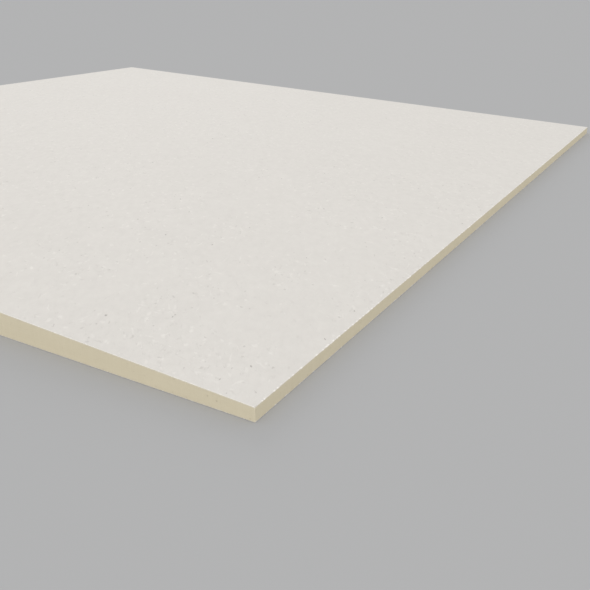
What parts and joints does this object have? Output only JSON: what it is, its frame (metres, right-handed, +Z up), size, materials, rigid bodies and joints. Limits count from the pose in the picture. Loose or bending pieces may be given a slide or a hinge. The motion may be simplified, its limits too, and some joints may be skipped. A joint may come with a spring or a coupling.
{
  "type": "tapered polyiso roof insulation board",
  "caption": "Square roof insulation board: a rigid foam wedge faced above and below with coated glass mat, rising evenly from a thin low edge to a thick high edge.",
  "frame": {"origin": "middle of the flat underside, where the board lies on the deck", "axes": "+X along the low edge, +Y up the slope from the low edge to the high edge, +Z up out of the deck"},
  "size_m": [1.2192, 1.2192, 0.0635],
  "materials": {
    "foam": "saw-cut closed-cell polyisocyanurate foam, pale tan, matte",
    "facer": "mineral-coated glass-fibre mat, off-white, matte with faint fibres and specks"
  },
  "bodies": {
    "root": {"foam_core": "foam", "top_facer": "facer", "bottom_facer": "facer"}
  },
  "joints": []
}
